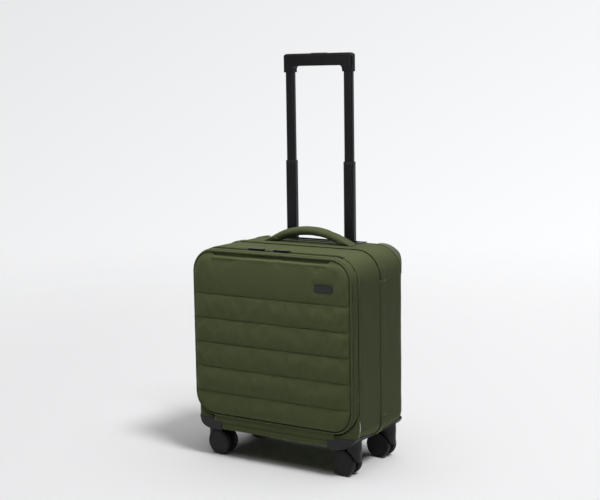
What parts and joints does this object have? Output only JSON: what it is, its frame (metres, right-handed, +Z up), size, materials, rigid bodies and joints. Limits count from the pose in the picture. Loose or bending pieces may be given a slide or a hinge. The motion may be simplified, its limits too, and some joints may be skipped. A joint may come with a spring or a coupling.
{
  "type": "rolling laptop case",
  "caption": "Soft olive cabin case on spinner casters with a zipped quilted front flap, a padded top handle and a two-stage pull handle, standing with the handle out.",
  "frame": {"origin": "on the floor under the centre of the case's box", "axes": "+Z up along the pull handle, +Y towards the back, +X to the right seen from the front"},
  "size_m": [0.3942, 0.2212, 0.8428],
  "materials": {
    "body_fabric": "smooth coated olive twill",
    "quilt_fabric": "padded olive twill with sewn channels",
    "piping_fabric": "olive piping",
    "handle_fabric": "padded olive handle wrap",
    "lining": "plain grey woven lining",
    "webbing": "black webbing",
    "zip_tape": "black zip tape with coil teeth",
    "zip_metal": "black painted zinc",
    "badge_plate": "dark grey satin plate, left blank",
    "black_plastic": "black moulded plastic",
    "inner_plastic": "grey plastic stiffener",
    "corner_cap": "olive moulded cap",
    "guard_plastic": "dark grey moulded plastic",
    "caster_plastic": "dark grey moulded nylon",
    "wheel_rubber": "dark polyurethane tyre and cover",
    "tube_coating": "black anodised tube",
    "bare_aluminium": "mill finish",
    "grip_plastic": "black moulded grip",
    "button_plastic": "black moulded button",
    "pin_metal": "blackened steel",
    "steel": "plain steel"
  },
  "bodies": {
    "rear_half": {"rear_shell": "body_fabric", "back_panel": "body_fabric", "lining_panel": "lining", "handle_housing": "black_plastic", "tube_sleeves": "bare_aluminium", "sleeve_bracket": "black_plastic", "carry_handle": "handle_fabric", "handle_plate": "inner_plastic", "upper_guard_left": "corner_cap", "upper_guard_right": "corner_cap", "rear_guard_left": "guard_plastic", "rear_guard_right": "guard_plastic", "storm_flap": "body_fabric", "hinge_gusset": "body_fabric", "main_zip_rear": "zip_tape"},
    "front_half": {"front_shell": "body_fabric", "divider_panel": "lining", "laptop_sleeve": "lining", "laptop_strap": "webbing", "front_guard_left": "guard_plastic", "front_guard_right": "guard_plastic", "main_zip_front": "zip_tape", "shell_zip": "zip_tape"},
    "front_flap": {"flap_frame": "body_fabric", "quilted_panel": "quilt_fabric", "front_piping": "piping_fabric", "badge": "badge_plate", "flap_zip": "zip_tape"},
    "left_zip_slider": {"flap_slider_left": "zip_metal"},
    "left_zip_pull": {"flap_pull_left": "zip_metal"},
    "right_zip_slider": {"flap_slider_right": "zip_metal"},
    "right_zip_pull": {"flap_pull_right": "zip_metal"},
    "main_zip_slider": {"main_slider": "zip_metal"},
    "main_zip_pull": {"main_pull": "zip_metal"},
    "lower_stage": {"lower_tube_left": "tube_coating", "lower_tube_right": "tube_coating", "tube_bushes": "black_plastic", "lock_pins": "pin_metal"},
    "upper_stage": {"upper_tube_left": "tube_coating", "upper_tube_right": "tube_coating", "grip": "grip_plastic", "button_spring": "steel"},
    "release": {"grip_button": "button_plastic", "release_bar": "steel"},
    "front_left_caster": {"fork_front_left": "caster_plastic", "axle_front_left": "steel"},
    "front_left_wheel_outer": {"wheel_front_left_outer": "wheel_rubber"},
    "front_left_wheel_inner": {"wheel_front_left_inner": "wheel_rubber"},
    "front_right_caster": {"fork_front_right": "caster_plastic", "axle_front_right": "steel"},
    "front_right_wheel_outer": {"wheel_front_right_outer": "wheel_rubber"},
    "front_right_wheel_inner": {"wheel_front_right_inner": "wheel_rubber"},
    "rear_left_caster": {"fork_rear_left": "caster_plastic", "axle_rear_left": "steel"},
    "rear_left_wheel_outer": {"wheel_rear_left_outer": "wheel_rubber"},
    "rear_left_wheel_inner": {"wheel_rear_left_inner": "wheel_rubber"},
    "rear_right_caster": {"fork_rear_right": "caster_plastic", "axle_rear_right": "steel"},
    "rear_right_wheel_outer": {"wheel_rear_right_outer": "wheel_rubber"},
    "rear_right_wheel_inner": {"wheel_rear_right_inner": "wheel_rubber"}
  },
  "joints": [
    {"name": "main_opening", "type": "hinge", "parent": "rear_half", "child": "front_half", "pos_m": [0.197, 0.001, 0.25], "axis": [0, 0, 1], "range_deg": [0, 120]},
    {"name": "flap_opening", "type": "hinge", "parent": "front_half", "child": "front_flap", "pos_m": [0, -0.104, 0.088], "axis": [1, 0, 0], "range_deg": [0, 90]},
    {"name": "lower_stage_slide", "type": "slide", "parent": "rear_half", "child": "lower_stage", "axis": [0, 0, 1], "range_m": [-0.194, 0]},
    {"name": "upper_stage_slide", "type": "slide", "parent": "lower_stage", "child": "upper_stage", "axis": [0, 0, 1], "range_m": [-0.18, 0]},
    {"name": "button_press", "type": "slide", "parent": "upper_stage", "child": "release", "axis": [0, 0, -1], "range_m": [0, 0.004], "stiffness_N_per_m": 600, "springref_m": -0.002, "deforming": ["button_spring"]},
    {"name": "left_slider_run", "type": "slide", "parent": "front_half", "child": "left_zip_slider", "axis": [-1, 0, 0], "range_m": [0, 0.105]},
    {"name": "right_slider_run", "type": "slide", "parent": "front_half", "child": "right_zip_slider", "axis": [1, 0, 0], "range_m": [0, 0.12]},
    {"name": "left_pull_swing", "type": "hinge", "parent": "left_zip_slider", "child": "left_zip_pull", "pos_m": [-0.0275, -0.084, 0.4477], "axis": [0, 1, 0], "range_deg": [0, 110]},
    {"name": "right_pull_swing", "type": "hinge", "parent": "right_zip_slider", "child": "right_zip_pull", "pos_m": [0.0015, -0.084, 0.4477], "axis": [0, -1, 0], "range_deg": [0, 110]},
    {"name": "main_slider_run", "type": "slide", "parent": "rear_half", "child": "main_zip_slider", "axis": [0, 0, 1], "range_m": [0, 0.22]},
    {"name": "main_pull_swing", "type": "hinge", "parent": "main_zip_slider", "child": "main_zip_pull", "pos_m": [-0.1957, 0.01, 0.1525], "axis": [0, 1, 0], "range_deg": [0, 110]},
    {"name": "front_left_swivel", "type": "hinge", "parent": "front_half", "child": "front_left_caster", "pos_m": [-0.17, -0.064, 0.06], "axis": [0, 0, 1], "continuous": true},
    {"name": "front_left_wheel_outer_spin", "type": "hinge", "parent": "front_left_caster", "child": "front_left_wheel_outer", "pos_m": [-0.15204, -0.06526, 0.027], "axis": [-0.0698, -0.9976, 0], "continuous": true},
    {"name": "front_left_wheel_inner_spin", "type": "hinge", "parent": "front_left_caster", "child": "front_left_wheel_inner", "pos_m": [-0.15204, -0.06526, 0.027], "axis": [-0.0698, -0.9976, 0], "continuous": true},
    {"name": "front_right_swivel", "type": "hinge", "parent": "front_half", "child": "front_right_caster", "pos_m": [0.17, -0.064, 0.06], "axis": [0, 0, 1], "continuous": true},
    {"name": "front_right_wheel_outer_spin", "type": "hinge", "parent": "front_right_caster", "child": "front_right_wheel_outer", "pos_m": [0.15204, -0.06274, 0.027], "axis": [0.0698, 0.9976, 0], "continuous": true},
    {"name": "front_right_wheel_inner_spin", "type": "hinge", "parent": "front_right_caster", "child": "front_right_wheel_inner", "pos_m": [0.15204, -0.06274, 0.027], "axis": [0.0698, 0.9976, 0], "continuous": true},
    {"name": "rear_left_swivel", "type": "hinge", "parent": "rear_half", "child": "rear_left_caster", "pos_m": [-0.17, 0.08, 0.06], "axis": [0, 0, 1], "continuous": true},
    {"name": "rear_left_wheel_outer_spin", "type": "hinge", "parent": "rear_left_caster", "child": "rear_left_wheel_outer", "pos_m": [-0.15218, 0.07749, 0.027], "axis": [-0.1392, -0.9903, 0], "continuous": true},
    {"name": "rear_left_wheel_inner_spin", "type": "hinge", "parent": "rear_left_caster", "child": "rear_left_wheel_inner", "pos_m": [-0.15218, 0.07749, 0.027], "axis": [-0.1392, -0.9903, 0], "continuous": true},
    {"name": "rear_right_swivel", "type": "hinge", "parent": "rear_half", "child": "rear_right_caster", "pos_m": [0.17, 0.08, 0.06], "axis": [0, 0, 1], "continuous": true},
    {"name": "rear_right_wheel_outer_spin", "type": "hinge", "parent": "rear_right_caster", "child": "rear_right_wheel_outer", "pos_m": [0.15204, 0.08126, 0.027], "axis": [0.0698, 0.9976, 0], "continuous": true},
    {"name": "rear_right_wheel_inner_spin", "type": "hinge", "parent": "rear_right_caster", "child": "rear_right_wheel_inner", "pos_m": [0.15204, 0.08126, 0.027], "axis": [0.0698, 0.9976, 0], "continuous": true}
  ]
}
